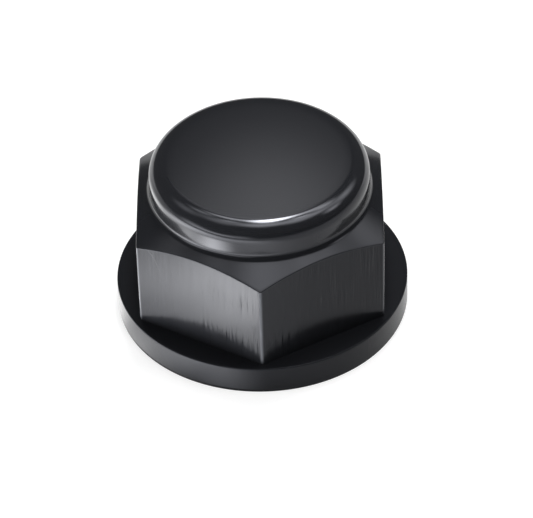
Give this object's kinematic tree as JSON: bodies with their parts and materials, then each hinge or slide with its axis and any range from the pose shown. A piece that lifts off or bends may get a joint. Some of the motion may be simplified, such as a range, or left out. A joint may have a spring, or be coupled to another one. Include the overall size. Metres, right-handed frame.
{
  "type": "axle nut",
  "caption": "Closed, flanged hexagon axle nut with a low round cap and a blind threaded hole, black anodised.",
  "frame": {"origin": "centre of the bearing face, on the thread's axis", "axes": "+Z along the thread's axis from the bearing face to the closed cap, +X across two flats, Y through two corners of the hexagon"},
  "size_m": [0.029, 0.029, 0.0176],
  "materials": {
    "black_anodised_aluminium": "satin"
  },
  "bodies": {
    "root": {"axle_nut": "black_anodised_aluminium"}
  },
  "joints": []
}
